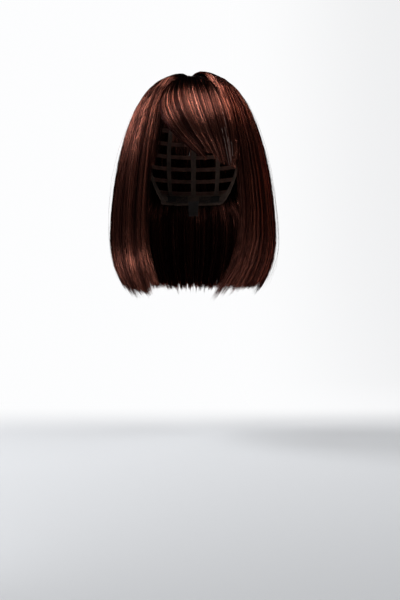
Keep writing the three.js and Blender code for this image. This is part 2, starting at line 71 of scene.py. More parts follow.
# In plan a lock runs to its widest place on an egg, and it tucks in again below it.
HALF_WIDTH = 124.5 * MM
FRONT_REACH, BACK_REACH = 102.7 * MM, 126 * MM
WIDEST_Z, HEM_Z, SPLIT_Z = -126 * MM, -212 * MM, 5 * MM  # the dome ends where the sides split off
DOME_POWER, DOME_SIDE, DOME_FRONT = 1.6, 0.32, 0.28  # of the curve over the dome
HEM_TUCK, NAPE_TUCK = 0.217, 0.13  # as shares of the widest reach
SIDE_SEAM = 128  # turn between the side and the back
UNDER_FRONT_TURN = 54  # where the under hair starts beside the face
CURTAIN_DEPTH = 24 * MM  # from the outer layer in to the under hair
NEAR_FACE_TURN, NEAR_FACE_SPAN = 34, 13  # where hair hangs nearest to the face, and how far round

# The left side's front lock curves in under the chin, from a height down over a fall.
FACE_SWEEP, SWEEP_TOP, SWEEP_FALL = 19 * MM, -100 * MM, 112 * MM

# Heights of the cut ends. Each side has two: beside the face, and a little further back. Up to a
# turn, the hair that the fringe covers is cut short at the cheek.
LEFT_HEMS, RIGHT_HEMS = (-221 * MM, -206 * MM), (-206 * MM, -213 * MM)
EAR_HEM, BACK_HEM = -199 * MM, -204 * MM
LEFT_CHEEK, LEFT_CHEEK_TURN = -20 * MM, 37.0
RIGHT_CHEEK, RIGHT_CHEEK_TURN = -28 * MM, 33.5

# Strands. Each stands for a few fibres that lie together.
LONG_STRANDS, FRINGE_STRANDS, FLYAWAYS = 2500, 2500, 55
SIDE_UNDER_STRANDS, BACK_UNDER_STRANDS = 1600, 2400
STRAND_RADIUS = 0.34 * MM
UNDER_THICKNESS, FLYAWAY_THICKNESS, PALE_THICKNESS = 1.3, 0.36, 0.45  # of the others'
# Where a strand's points lie, as shares of its length: closer where it turns, over the dome and
# at its tip.
STATIONS = np.array([0, 0.004, 0.03, 0.08, 0.15, 0.23, 0.31, 0.4, 0.5, 0.61, 0.72, 0.82, 0.91, 0.975, 1])
TONE_WIDTH = 0.005  # how much the tone changes round a strand's tube

# How far apart wisps and locks are: in degrees round the head, and as shares of the fringe's width.
LONG_WISPS, LONG_LOCKS = 0.75, 4.2
UNDER_WISPS, UNDER_LOCKS = 1.0, 5.0
FRINGE_WISPS, FRINGE_LOCKS = 0.011, 0.062
FREE_SHARE = 0.35  # of the long strands, which hang straight and close the gaps between locks

rng = np.random.default_rng(20)  # one seed, so that every run gives the same hair

# ---- Curves -------------------------------------------------------------------------------------


def mix(start, end, share):
    """From start at a share of 0 to end at a share of 1."""
    return start + (end - start) * share


def smooth(share):
    """0 up to a share of 0, 1 from a share of 1, and an even curve between."""
    share = np.clip(share, 0, 1)
    return share * share * (3 - 2 * share)


def unfold(whole):
    """Side (1 left, -1 right) and turn from the front, 0 to 180, of a turn from 0 to 360."""
    whole = np.mod(whole, 360)
    return np.where(whole <= 180, 1, -1), np.where(whole <= 180, whole, 360 - whole)


def lock_plan(whole):
    """In plan, where a lock starts and how it runs to its widest place, and its root's height."""
    side, turn = unfold(whole)
    to_crown = smooth((turn - FRONT_TURN) / (PART_END_TURN - FRONT_TURN))
    at_whorl = np.clip((turn - PART_END_TURN) / (180 - PART_END_TURN), 0, 1)
    root_x = PART_X + side * PART_HALF_GAP * (1 - at_whorl)
    root_y = mix(PART_FRONT, PART_BACK, to_crown) + WHORL * at_whorl
    reach = np.where(turn < 90, FRONT_REACH, BACK_REACH)
    run_x = side * HALF_WIDTH * np.sin(np.radians(turn)) - root_x
    run_y = -reach * np.cos(np.radians(turn)) - root_y
    length = np.hypot(run_x, run_y)
    over = ROOT_HEIGHT + np.where(side > 0, LEFT_RISE * np.clip((180 - turn) / 30, 0, 1), 0)
    top = (SCALP[2] + over) * np.sqrt(1 - (root_y / (SCALP[1] + over)) ** 2)
    return root_x, root_y, run_x / length, run_y / length, length, top


def reach_at(z, turn, top):
    """How far a lock has run when it has fallen to a height, as a share of its widest reach."""
    fallen = np.clip((top - z) / (top - WIDEST_Z), 0, 1)
    root = mix(DOME_FRONT, DOME_SIDE, smooth((turn - FRONT_TURN) / 30))
    dome = (1 - (1 - fallen) ** DOME_POWER) ** root
    under = np.clip((WIDEST_Z - z) / (WIDEST_Z - HEM_Z), 0, 1.2)
    hanging = np.clip((SPLIT_Z - z) / (SPLIT_Z - HEM_Z), 0, 1.2)
    nape = NAPE_TUCK * smooth((turn - 120) / 40) * hanging**1.2
    return dome - HEM_TUCK * under**2.2 - nape


def fall_at(s, top, end):
    """Height along a strand, for s from 0 at its root to 1 at its tip."""
    over_dome = top - (top - SPLIT_Z) * np.clip(2 * s, 0, 1) ** 3
    return over_dome - (SPLIT_Z - end) * np.clip(2 * s - 1, 0, 1)


def face_sweep(whole, z):
    """How far the left side's front lock curves in under the chin."""
    low = np.clip((SWEEP_TOP - z) / SWEEP_FALL, 0, 1.2)
    side, turn = unfold(whole)
    return np.where(side > 0, FACE_SWEEP * (1 - smooth((turn - 36) / 34)) * low**1.6, 0)


def draped(whole, s, end, depth):
    """Points of strands that fall over the head from the parting. whole, s, end and depth have one
    row for each strand and one column for each point."""
    root_x, root_y, way_x, way_y, length, top = lock_plan(whole)
    _, turn = unfold(whole)

    def profile(along):
        z = fall_at(along, top, end)
        return length * reach_at(z, turn, top), z

    before, after = profile(np.clip(s - 0.01, 0, 1)), profile(s + 0.01)
    along_d, along_z = after[0] - before[0], after[1] - before[1]
    size = np.hypot(along_d, along_z)
    distance, z = profile(s)
    dip = PART_DIP * (1 - smooth(distance / DIP_REACH))
    distance = np.maximum(distance + along_z / size * depth, 0)
    z = z - along_d / size * depth - dip
    x = root_x + way_x * distance - face_sweep(whole, z)
    return np.stack([x, root_y + way_y * distance, z], axis=-1)


# ---- Strand meshes ------------------------------------------------------------------------------

TUBE_SIDES = 3


def tube_section():
    """The outline that every strand is swept from, one unit in radius."""
    curve = bpy.data.curves.new("strand_section", "CURVE")
    outline = curve.splines.new("POLY")
    outline.points.add(TUBE_SIDES - 1)
    for corner, point in enumerate(outline.points):
        angle = -2 * math.pi * corner / TUBE_SIDES
        point.co = (math.cos(angle), math.sin(angle), 0, 1)
    outline.use_cyclic_u = True
    return bpy.data.objects.new("strand_section", curve)


def strand_mesh(name, paths, radii, tones):
    """Sweeps a tube with pointed ends along each path. The UV map holds each strand's tone and the
    place from root to tip, so that the colour can follow the strand."""
    count, points = paths.shape[:2]
    curve = bpy.data.curves.new(name, "CURVE")
    curve.dimensions = "3D"
    section = tube_section()
    curve.bevel_mode = "OBJECT"
    curve.bevel_object = section
    radii[:, [0, -1]] = 0
    places = np.concatenate([paths, np.ones((count, points, 1))], axis=2).astype(np.float32)
    for place, radius in zip(places, radii):
        spline = curve.splines.new("POLY")
        spline.points.add(points - 1)
        spline.points.foreach_set("co", place.ravel())
        spline.points.foreach_set("radius", radius)
    source = bpy.data.objects.new(name + "_paths", curve)
    for thing in (section, source):
        bpy.context.scene.collection.objects.link(thing)
    evaluated = source.evaluated_get(bpy.context.evaluated_depsgraph_get())
    mesh = bpy.data.meshes.new_from_object(evaluated)
    for thing in (source, section):
        bpy.data.curves.remove(thing.data)
    mesh.name = name
    while mesh.uv_layers:
        mesh.uv_layers.remove(mesh.uv_layers[0])

    # A corner of the tube, counted on past the last one on the face that closes the ring.
    vertex = np.zeros(len(mesh.loops), np.int64)
    mesh.loops.foreach_get("vertex_index", vertex)
    corner = (vertex % TUBE_SIDES).reshape(-1, 4)
    closes = (corner.max(axis=1) == TUBE_SIDES - 1) & (corner.min(axis=1) == 0)
    corner = np.where(closes[:, None] & (corner == 0), TUBE_SIDES, corner).ravel()
    strand = vertex // (points * TUBE_SIDES)
    along = (vertex // TUBE_SIDES) % points / (points - 1)
    uv = np.stack([tones[strand] + TONE_WIDTH * corner / TUBE_SIDES, 0.02 + 0.96 * along], axis=1)
    mesh.uv_layers.new(name="OFBake").data.foreach_set("uv", uv.astype(np.float32).ravel())

    shape = bmesh.new()
    shape.from_mesh(mesh)
    bmesh.ops.remove_doubles(shape, verts=shape.verts, dist=1e-7)
    for face in shape.faces:
        face.smooth = True
    shape.to_mesh(mesh)
    shape.free()
    piece = bpy.data.objects.new(name, mesh)
    bpy.context.scene.collection.objects.link(piece)
    return piece


# ---- Materials ----------------------------------------------------------------------------------


def new_material(name, **values):
    """A Principled material with constant values on its sockets, and its node tree and shader."""
    made = bpy.data.materials.new(name)
    made.use_nodes = True
    shader = made.node_tree.nodes["Principled BSDF"]
    for key, value in values.items():
        shader.inputs[key.replace("_", " ")].default_value = value
    return made, made.node_tree, shader


def add_node(tree, kind, inputs=(), **settings):
    """A node with some settings, and some inputs given as a value or as a socket to link from."""
    node = tree.nodes.new(kind)
    for key, value in settings.items():
        setattr(node, key, value)
    for key, value in dict(inputs).items():
        if isinstance(value, bpy.types.NodeSocket):
            tree.links.new(value, node.inputs[key])
        else:
            node.inputs[key].default_value = value
    return node


def calculate(tree, operation, *values):
    """The result of a Math node on values or sockets."""
    return add_node(tree, "ShaderNodeMath", dict(enumerate(values)), operation=operation).outputs[0]


def remap(tree, value, old_ends, new_ends, easing="LINEAR"):
    """A value carried over from one range to another, and held at its ends."""
    inputs = {"Value": value, "From Min": old_ends[0], "From Max": old_ends[1]}
    inputs |= {"To Min": new_ends[0], "To Max": new_ends[1]}
    return add_node(tree, "ShaderNodeMapRange", inputs, interpolation_type=easing).outputs["Result"]


def object_place(tree):
    return add_node(tree, "ShaderNodeTexCoord").outputs["Object"]


def ramp(tree, factor, stops):
    """A colour that goes evenly through stops, each a place from 0 to 1 and its colour."""
    node = add_node(tree, "ShaderNodeValToRGB", {"Fac": factor})
    elements = node.color_ramp.elements
    elements[0].position, elements[1].position = stops[0][0], stops[-1][0]
    for place, _ in stops[1:-1]:
        elements.new(place)
    for element, (_, colour) in zip(elements, stops):
        element.color = (*colour, 1)
    return node.outputs["Color"]


def hair_material(name, stops, painted_shade_end):
    """Hair colour by the strand's tone, with painted shade from the root to painted_shade_end, a share
    of its points.
    Light that passes through a fibre comes back coloured, which the metallic share stands for."""
    tint = (0.24, 0.12, 0.1, 1)
    made, tree, shader = new_material(name, Specular_IOR_Level=0.3, Specular_Tint=tint)
    uv = add_node(tree, "ShaderNodeUVMap", uv_map="OFBake").outputs["UV"]
    split = add_node(tree, "ShaderNodeSeparateXYZ", {"Vector": uv})
    tone, along = split.outputs["X"], split.outputs["Y"]
    # Lighter strands come out of the painted root shade a little sooner.
    out_of_painted_shade = calculate(tree, "MULTIPLY_ADD", tone, 0.06, along)
    # Painted shade: the colour darkens towards the root, so that the crown looks shaded.
    painted_shades = [(0.0, (0.08,) * 3), (painted_shade_end - 0.02, (0.12,) * 3), (painted_shade_end + 0.02, (1,) * 3)]
    inputs = {0: 1.0, 6: ramp(tree, tone, stops), 7: ramp(tree, out_of_painted_shade, painted_shades)}
    colour = add_node(tree, "ShaderNodeMix", inputs, data_type="RGBA", blend_type="MULTIPLY")
    tree.links.new(colour.outputs[2], shader.inputs["Base Color"])
    tree.links.new(remap(tree, tone, (0, 1), (0.3, 0.2)), shader.inputs["Roughness"])
    # The pale fibres scatter light instead of passing it on, so that their painted highlight shows from
    # every side.
    metallic = remap(tree, tone, (0.98, 0.995), (0.93, 0.15))
    tree.links.new(metallic, shader.inputs["Metallic"])
    return made


# Colours from the darkest tone to the lightest. The last is that of the few pale fibres, a painted
# highlight of stray fibres catching the light.
HAIR_STOPS = [
    (0.0, (0.024, 0.0085, 0.0080)),
    (0.4, (0.086, 0.0290, 0.0220)),
    (0.75, (0.235, 0.0780, 0.0550)),
    (0.97, (0.500, 0.1720, 0.1100)),
    (1.0, (0.480, 0.3700, 0.3400)),
]
PALE, LIGHTEST, DARKEST = 1.0, 0.97, 0.02  # tones of the bleached fibres and ends of the others'
PAINTED_SHADE_END, FRINGE_PAINTED_SHADE_END = 0.355, 0.52  # where the painted shade at the roots ends, as shares of a strand

# ---- Hair ---------------------------------------------------------------------------------------


def hem_of(whole):
    """Height of the cut ends round the head. The hair beside the face is cut short at the cheek."""
    side, turn = unfold(whole)
    left_hem = mix(*LEFT_HEMS, smooth((turn - 38) / 12))
    right_hem = mix(*RIGHT_HEMS, smooth((turn - 36) / 8))
    hem = np.where(side > 0, left_hem, right_hem)
    hem = mix(hem, EAR_HEM, smooth((turn - 60) / 30))
    hem = mix(hem, BACK_HEM, smooth((turn - 110) / 40))
    cheek = np.where(side > 0, LEFT_CHEEK, RIGHT_CHEEK)
    cheek_turn = np.where(side > 0, LEFT_CHEEK_TURN, RIGHT_CHEEK_TURN)
    return np.where(turn < cheek_turn, cheek, hem)


def spread(first, last, spacing):
    """Places between two ends, about evenly apart."""
    count = max(2, round(abs(last - first) / spacing))
    return mix(first, last, (np.arange(count) + 0.5 + rng.uniform(-0.35, 0.35, count)) / count)


def rooted(low, high, count):
    """Where each strand is rooted: scattered, but with no bare place left between them."""
    return mix(low, high, (np.arange(count) + rng.uniform(0, 1, count)) / count)


def nearest(value, choices):
    """The number of the choice that lies nearest to each value."""
    return np.abs(value[:, None] - choices[None, :]).argmin(axis=1)


def gathered(at, low, high, wisp_spacing, lock_spacing):
    """Sorts strands into fine wisps and the wisps into locks. For each strand: its wisp's and its
    lock's place and number, and how far off the lock's middle it is, from -1 to 1."""
    wisps, locks = spread(low, high, wisp_spacing), spread(low, high, lock_spacing)
    wisp = nearest(at, wisps)
    lock = nearest(wisps, locks)[wisp]
    off = np.clip((at - locks[lock]) / (0.5 * lock_spacing), -1.3, 1.3)
    return wisps[wisp], wisp, locks[lock], lock, off


def by_group(group, scatter):
    """One random value of a normal scatter for each group, given to each of its strands."""
    return rng.normal(0, scatter, group.max() + 1)[group]


def column(values):
    """One row for each strand, to go with a column for each of its points."""
    return np.asarray(values)[:, None]


def fibre_radii(count, scale=1.0):
    """Thickness along each strand: full for most of it and finer at both ends."""
    to_root = mix(0.6, 1.0, smooth(STATIONS / 0.12))
    to_tip = mix(1.0, 0.4, smooth((STATIONS - 0.9) / 0.09))
    own = STRAND_RADIUS * scale * rng.uniform(0.6, 1.2, (count, 1))
    return (own * (to_root * to_tip)).astype(np.float32)


def tones_of(wisp, lock, middle):
    """How light each strand is, from 0 to 1, alike within a wisp and more so within a lock."""
    own = rng.normal(0, 0.21, len(wisp))
    tones = middle + by_group(lock, 0.07) + by_group(wisp, 0.18) + own
    return np.clip(tones, DARKEST, LIGHTEST)


def long_hair(name, first, last, count):
    """Hair that falls from the parting to the hem between two turns."""
    low, high = min(first, last), max(first, last)
    at = rooted(low, high, count)
    wisp_at, wisp, lock_at, lock, off = gathered(at, low, high, LONG_WISPS, LONG_LOCKS)

    # Some strands come out from under the others, lower down.
    start = np.where(rng.uniform(0, 1, count) < 0.25, rng.uniform(0.05, 0.4, count), 0)
    start += rng.uniform(0, 0.0015, count)
    s = column(start) + (1 - column(start)) * STATIONS

    # Beside the face nothing hangs behind the locks, so they stay closer together.
    side, turn = unfold(at)
    away = smooth((turn - NEAR_FACE_TURN) / NEAR_FACE_SPAN)
    near_face = np.where(turn > NEAR_FACE_TURN, 1 - away, 0)
    beside_face = column(1 - smooth((turn - 45) / 12))
    share = column(rng.uniform(0, 1, count) ** 1.5)
    held = column(rng.uniform(0, 1, count) > FREE_SHARE)
    to_wisp = held * (0.6 - 0.5 * share) * smooth((s - 0.1) / 0.5)
    to_lock = (0.36 - 0.22 * beside_face) * (1 - share) ** 2 * smooth((s - 0.45) / 0.55)
    to_lock *= held
    whole = column(at) + column(wisp_at - at) * to_wisp + column(lock_at - wisp_at) * to_lock
    sway = 0.25 * np.sin(s * 7 + column(by_group(lock, 2)))
    sway += 0.08 * np.sin(s * rng.uniform(4, 10, (count, 1)) + column(by_group(wisp, 2)))
    whole += held * sway * smooth(s * 2) * (1 - share)

    # Each lock is rounded: its edges lie deeper than its middle.
    depth = share * mix(2.0 * MM, 10 * MM, smooth(s * 2.2))
    depth += column(np.abs(by_group(wisp, 0.45 * MM))) * smooth(s / 0.3)
    depth += column(1.0 * MM * off**2) * smooth((s - 0.25) / 0.6)
    depth *= 1 - 0.3 * smooth((s - 0.75) / 0.25)

    # A lock's middle hangs lowest, and a few strands are cut short.
    short = np.where(rng.uniform(0, 1, count) < 0.1, rng.exponential(10, count), 0) * MM
    end = hem_of(at) + (np.abs(off) ** 1.2 * 9.5 + by_group(wisp, 4.0) + by_group(lock, 1.8)) * MM
    end += rng.normal(-1.2, 1.2, count) * MM + short

    # The tips beside the face fan out towards the neck.
    fan = (np.abs(by_group(wisp, 2.0)) + rng.uniform(0, 3.5, count)) * near_face
    whole -= column(side * fan) * smooth((s - 0.72) / 0.28) ** 2
    paths = draped(whole, s, column(end), depth)
    # Beside the face the tone is lighter: partly the lock's own lighter colour, partly a painted
    # highlight.
    tones = np.clip(tones_of(wisp, lock, 0.42) + 0.2 * near_face, DARKEST, LIGHTEST)
    return strand_mesh(name, paths, fibre_radii(count), tones)


def loose_hair(name, first, last, count):
    """Single fibres that stand off the surface and wander across the locks."""
    at = rng.uniform(min(first, last), max(first, last), count)
    start = rng.uniform(0, 0.5, (count, 1))
    s = start + (1 - start) * STATIONS
    away = smooth((s - start - 0.05) / rng.uniform(0.25, 0.9, (count, 1)))
    lift = rng.exponential(2.2, (count, 1)).clip(0.4, 7) * MM * away
    lift *= 0.7 + 0.5 * np.sin(s * rng.uniform(3, 11, (count, 1)) + rng.uniform(0, 6.3, (count, 1)))
    drift = rng.normal(0, 3.0, (count, 1)) * smooth((s - start) / 0.8)
    roam = 0.8 * np.sin(s * rng.uniform(4, 16, (count, 1)) + rng.uniform(0, 6.3, (count, 1)))
    roam += rng.normal(0, 2.5, (count, 1)) * smooth((s - 0.8) / 0.2) ** 2
    end = hem_of(at) + rng.normal(2, 5, count) * MM
    paths = draped(column(at) + drift + roam, s, column(end), -lift)
    tones = rng.uniform(0.3, 0.8, count)
    return strand_mesh(name, paths, fibre_radii(count, FLYAWAY_THICKNESS), tones)


def under_hair(name, first, last, count):
    """Hair sewn to the lower wefts, which hangs inside the outer layer."""
    low, high = min(first, last), max(first, last)
    at = rooted(low, high, count)
    wisp_at, wisp, lock_at, lock, off = gathered(at, low, high, UNDER_WISPS, UNDER_LOCKS)
    s = np.broadcast_to(STATIONS, (count, len(STATIONS)))
    share = column(rng.uniform(0, 1, count))
    to_wisp = (0.45 - 0.4 * share) * smooth(s)
    to_lock = 0.15 * (1 - share) * s**2
    whole = column(at) + column(wisp_at - at) * to_wisp + column(lock_at - wisp_at) * to_lock
    whole += 0.3 * (1 - share) * np.sin(s * 6 + column(by_group(wisp, 2)))

    begin = column(rng.uniform(-0.052, 0.05, count))
    side, turn = unfold(at)
    end = hem_of(np.where(turn < 60, 60 * side, at))
    end += (np.abs(off) ** 1.5 * 4 + by_group(wisp, 2) + rng.normal(1, 1.2, count)) * MM
    z = mix(begin, column(end), s)
    root_x, root_y, way_x, way_y, length, top = lock_plan(whole)
    outer = length * reach_at(z, unfold(whole)[1], top)
    scalp = scalp_reach(root_x, root_y, way_x, way_y, z, 5.0 * MM)
    hanging = np.maximum(outer - mix(0.4, 1, share) * CURTAIN_DEPTH, scalp)
    distance = mix(scalp, hanging, smooth((begin - z) / 0.06))
    x = root_x + way_x * distance - face_sweep(whole, z)
    paths = np.stack([x, root_y + way_y * distance, z], axis=-1)
    radii = fibre_radii(count, UNDER_THICKNESS)
    return strand_mesh(name, paths, radii, tones_of(wisp, lock, 0.36))


def scalp_reach(root_x, root_y, way_x, way_y, z, clearance):
    """Distance in plan from a lock's root to a clearance over the scalp."""
    tall = np.where(z < 0, SCALP[3], SCALP[2]) + clearance
    ring = 1 - np.clip(z / tall, -0.999, 0.999) ** 2
    half_width, half_length = SCALP[0] + clearance, SCALP[1] + clearance
    # The distance solves squared * distance**2 + 2 * linear * distance + constant = 0.
    squared = (way_x / half_width) ** 2 + (way_y / half_length) ** 2
    linear = root_x * way_x / half_width**2 + root_y * way_y / half_length**2
    constant = (root_x / half_width) ** 2 + (root_y / half_length) ** 2 - ring
    found = (-linear + np.sqrt(np.maximum(linear * linear - squared * constant, 0))) / squared
    return np.where(constant < 0, found, 0)


# The fringe flows from the front of the parting between two edges. Each point is a distance to the
# wearer's left and a lift, in degrees, over the scalp's widest level. The crest is how much higher
# the locks between the edges pass.
FRINGE_RIGHT_EDGE = np.array([(-3, 77), (-39, 44), (-47, 24), (-24, 4.5), (15, -9)])
FRINGE_LEFT_EDGE = np.array([(-1, 78), (35, 50), (56, 23.5), (63, 3.5), (64, -13)])
FRINGE_CREST = np.array([0, 8, 7, 5, 1])
FRINGE_ROOT_OVER, FRINGE_OVER = 5 * MM, 12.5 * MM  # over the scalp
FRINGE_LIFT = 4 * MM  # of its right edge, which lies over the side hair
# How much shorter the fringe is at its notch, where the notch is and how wide, as shares.
FRINGE_NOTCH, FRINGE_NOTCH_AT, FRINGE_NOTCH_WIDTH = 0.065, 0.27, 0.11
PALE_FROM, PALE_TO, PALE_CHANCE = 0.76, 0.9, 0.018  # where the pale fibres of painted highlight grow, and how many


def spline_through(points, s):
    """A smooth curve through evenly timed points, at s from 0 to 1. points has one row of points for
    each strand."""
    before, after = 2 * points[:, :1] - points[:, 1:2], 2 * points[:, -1:] - points[:, -2:-1]
    padded = np.concatenate([before, points, after], axis=1)
    spans = points.shape[1] - 1
    place = np.clip(s * spans, 0, spans - 1e-4)
    span = place.astype(int)
    share = (place - span)[..., None]
    row = np.arange(len(points))[:, None]
    # The curve runs from the second of these points to the third.
    first, second, third, fourth = (padded[row, span + step] for step in range(4))
    cubic = (3 * second - first - 3 * third + fourth) * share**3
    cubic = cubic + (2 * first - 5 * second + 4 * third - fourth) * share**2
    return 0.5 * (2 * second + (third - first) * share + cubic)


def fringe_hair(name, count):
    """The fan of hair from the front of the parting. at is a share from its right edge to its left."""
    at = rooted(0, 1, count)
    wisp_at, wisp, lock_at, lock, off = gathered(at, 0, 1, FRINGE_WISPS, FRINGE_LOCKS)
    s = np.broadcast_to(STATIONS, (count, len(STATIONS)))

    def flow(share):
        share = np.clip(share, 0, 1)[:, None, None]
        points = mix(FRINGE_RIGHT_EDGE[None], FRINGE_LEFT_EDGE[None], share)
        points[:, :, 1] += FRINGE_CREST * 4 * (share * (1 - share))[:, :, 0]
        return points

    # A strand drifts towards its wisp and its lock, so its route is mixed from two.
    tip_at = at + 0.5 * (wisp_at - at) + 0.2 * (lock_at - wisp_at) + rng.normal(0, 0.008, count)
    short = np.where(rng.uniform(0, 1, count) < 0.1, rng.uniform(0.02, 0.3, count), 0)
    reach = 1 - 0.035 * np.abs(off) ** 1.5 + by_group(wisp, 0.012) + by_group(lock, 0.008) - short
    reach -= FRINGE_NOTCH * np.exp(-(((at - FRINGE_NOTCH_AT) / FRINGE_NOTCH_WIDTH) ** 2))
    along = s * column(reach)
    from_root = spline_through(flow(at), along)
    to_tip = spline_through(flow(tip_at), along)
    route = mix(from_root, to_tip, smooth(s)[..., None] ** 2)
    x, lift = route[..., 0] * MM, np.radians(route[..., 1])

    depth = column(rng.uniform(0, 1, count) ** 1.4) * mix(2.5, 6.5, smooth(s * 2)) * MM
    depth += column(np.abs(by_group(wisp, 0.3 * MM))) * smooth(s * 2)
    depth += column(0.6 * MM * off**2) * smooth((s - 0.4) / 0.5)
    # A few pale fibres, a painted highlight, come out from under the others near the left temple.
    pale = (at > PALE_FROM) & (at < PALE_TO) & (rng.uniform(0, 1, count) < PALE_CHANCE)
    comes_out = column(rng.uniform(0.45, 0.7, count))
    depth = np.where(column(pale), mix(5 * MM, 0, smooth((s - comes_out) / 0.2)), depth)
    over = mix(FRINGE_ROOT_OVER, FRINGE_OVER, smooth(s / 0.25)) - depth
    over += FRINGE_LIFT * column((1 - at) ** 3) * np.sin(math.pi * s)
    half_width, half_length = (SCALP[0] + over) * np.cos(lift), (SCALP[1] + over) * np.cos(lift)
    y = -half_length * np.sqrt(np.clip(1 - (x / half_width) ** 2, 0.02, 1))
    z = (np.where(lift < 0, SCALP[3], SCALP[2]) + over) * np.sin(lift)
    paths = np.stack([x, y, z], axis=-1)
    # Its right edge is darker: painted shade, for the shade of the locks beside it.
    tones = tones_of(wisp, lock, 0.43) - 0.3 * (1 - smooth(at / 0.12))
    tones = np.clip(tones, DARKEST, LIGHTEST)
    radii = fibre_radii(count) * np.where(column(pale), PALE_THICKNESS, 1)
    return strand_mesh(name, paths, radii.astype(np.float32), np.where(pale, PALE, tones))


def make_hair():
    """Each section's hair, and the fringe."""
    hair = hair_material("auburn_hair", HAIR_STOPS, PAINTED_SHADE_END)
    right_front, right_seam = 360 - FRONT_TURN, 360 - SIDE_SEAM
    sections = [
        ("left", FRONT_TURN, SIDE_SEAM, UNDER_FRONT_TURN),
        ("right", right_front, right_seam, 360 - UNDER_FRONT_TURN),
    ]
    pieces = []
    for side, front, seam, under_front in sections:
        body = f"side_{side}"
        locks = long_hair(f"side_locks_{side}", front, seam, LONG_STRANDS)
        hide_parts(f"side_hair_{side}", f"crown_hair_{side}")
        under = under_hair(f"side_under_locks_{side}", under_front, seam, SIDE_UNDER_STRANDS)
        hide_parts(f"side_under_hair_{side}")
        flyaways = loose_hair(f"side_flyaways_{side}", front, seam, FLYAWAYS)
        pieces += [(locks, body, "hair"), (under, body, "under_hair"), (flyaways, body, "hair")]
    back = long_hair("back_locks", SIDE_SEAM, right_seam, LONG_STRANDS)
    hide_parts("back_hair", "crown_hair_left", "crown_hair_right")
    back_under = under_hair("back_under_locks", SIDE_SEAM, right_seam, BACK_UNDER_STRANDS)
    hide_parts("back_under_hair")
    flyaways = loose_hair("back_flyaways", SIDE_SEAM, right_seam, FLYAWAYS)
    pieces += [(back, "back", "hair"), (back_under, "back", "under_hair"), (flyaways, "back", "hair")]
    for piece, body, slot in pieces:
        piece.data.materials.append(hair)
        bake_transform(piece)

    fringe = fringe_hair("fringe_locks", FRINGE_STRANDS)
    # The fringe has its own copy of the material, with a longer painted shade at its roots.
    fringe.data.materials.append(hair_material("auburn_fringe", HAIR_STOPS, FRINGE_PAINTED_SHADE_END))
    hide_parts("fringe")
    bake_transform(fringe)


# ---- Cap ----------------------------------------------------------------------------------------


def node_group(name, inputs, outputs):
    """A shader node group with named number inputs, given with their defaults, and outputs."""
    tree = bpy.data.node_groups.new(name, "ShaderNodeTree")
    for key, value in inputs.items():
        made = tree.interface.new_socket(key, in_out="INPUT", socket_type="NodeSocketFloat")
        made.default_value = value
    for key in outputs:
        tree.interface.new_socket(key, in_out="OUTPUT", socket_type="NodeSocketFloat")
    return tree, tree.nodes.new("NodeGroupInput").outputs, tree.nodes.new("NodeGroupOutput")


def weave_group():
    """Crossing threads round the head and up it. Round and Up are the threads' spacings in mm."""
    tree, given, result = node_group("weave", {"Round": 1.0, "Up": 1.0}, ["Threads"])
    place = add_node(tree, "ShaderNodeSeparateXYZ", {"Vector": object_place(tree)}).outputs
    deep = calculate(tree, "MULTIPLY", place["Y"], -SCALP[0] / SCALP[1])
    turn = calculate(tree, "ARCTAN2", place["X"], deep)
    arc = calculate(tree, "MULTIPLY", turn, (SCALP[0] + SCALP[1]) / 2 / MM)
    height = calculate(tree, "DIVIDE", place["Z"], MM)
    waves = []
    for along, spacing in ((arc, given["Round"]), (height, given["Up"])):
        phase = calculate(tree, "DIVIDE", calculate(tree, "MULTIPLY", along, 2 * math.pi), spacing)
        waves.append(calculate(tree, "SINE", phase))
    crossed = calculate(tree, "ADD", *waves)
    threads = calculate(tree, "MULTIPLY_ADD", crossed, 0.25, 0.5)
    tree.links.new(threads, result.inputs["Threads"])
    return tree


def net_group():
    """A knotted net, Mesh mm from hole to hole."""
    tree, given, result = node_group("net", {"Mesh": 1.6}, ["Threads"])
    scale = calculate(tree, "DIVIDE", 1 / MM, given["Mesh"])
    inputs = {"Vector": object_place(tree), "Scale": scale, "Randomness": 0.35}
    holes = add_node(tree, "ShaderNodeTexVoronoi", inputs, feature="DISTANCE_TO_EDGE")
    threads = remap(tree, holes.outputs["Distance"], (0.05, 0.22), (1, 0), "SMOOTHSTEP")
    tree.links.new(threads, result.inputs["Threads"])
    return tree


def handling_group():
    """Uneven patches from dye, handling and wear, with fine grain in them. Size is in mm."""
    tree, given, result = node_group("handling", {"Size": 12.0, "Grain": 0.4}, ["Patches"])
    place = object_place(tree)
    scale = calculate(tree, "DIVIDE", 1 / MM, given["Size"])
    fine = calculate(tree, "MULTIPLY", scale, 14)
    patches = add_node(tree, "ShaderNodeTexNoise", {"Vector": place, "Scale": scale, "Detail": 3.0})
    grain = add_node(tree, "ShaderNodeTexNoise", {"Vector": place, "Scale": fine, "Detail": 2.0})
    inputs = {0: given["Grain"], 2: patches.outputs["Fac"], 3: grain.outputs["Fac"]}
    both = add_node(tree, "ShaderNodeMix", inputs, data_type="FLOAT").outputs[0]
    tree.links.new(remap(tree, both, (0.34, 0.66), (0, 1)), result.inputs["Patches"])
    return tree


def use_group(tree, group, values):
    node = add_node(tree, "ShaderNodeGroup", node_tree=group)
    for key, value in values.items():
        node.inputs[key].default_value = value
    return node.outputs[0]


def finish(name, pattern, patches, low, high, roughness, height, values):
    """A material whose colour goes from low to high with its threads and patches, and whose
    threads stand up by a height in mm. pattern and patches are each a group with its values."""
    made, tree, shader = new_material(name, **values)
    threads, worn = use_group(tree, *pattern), use_group(tree, *patches)
    shown = calculate(tree, "MULTIPLY_ADD", worn, 0.5, calculate(tree, "MULTIPLY", threads, 0.5))
    tree.links.new(ramp(tree, shown, [(0.1, low), (0.9, high)]), shader.inputs["Base Color"])
    tree.links.new(remap(tree, worn, (0, 1), roughness), shader.inputs["Roughness"])
    inputs = {"Strength": 0.7, "Distance": height * MM, "Height": threads}
    bump = add_node(tree, "ShaderNodeBump", inputs)
    tree.links.new(bump.outputs["Normal"], shader.inputs["Normal"])
    return made


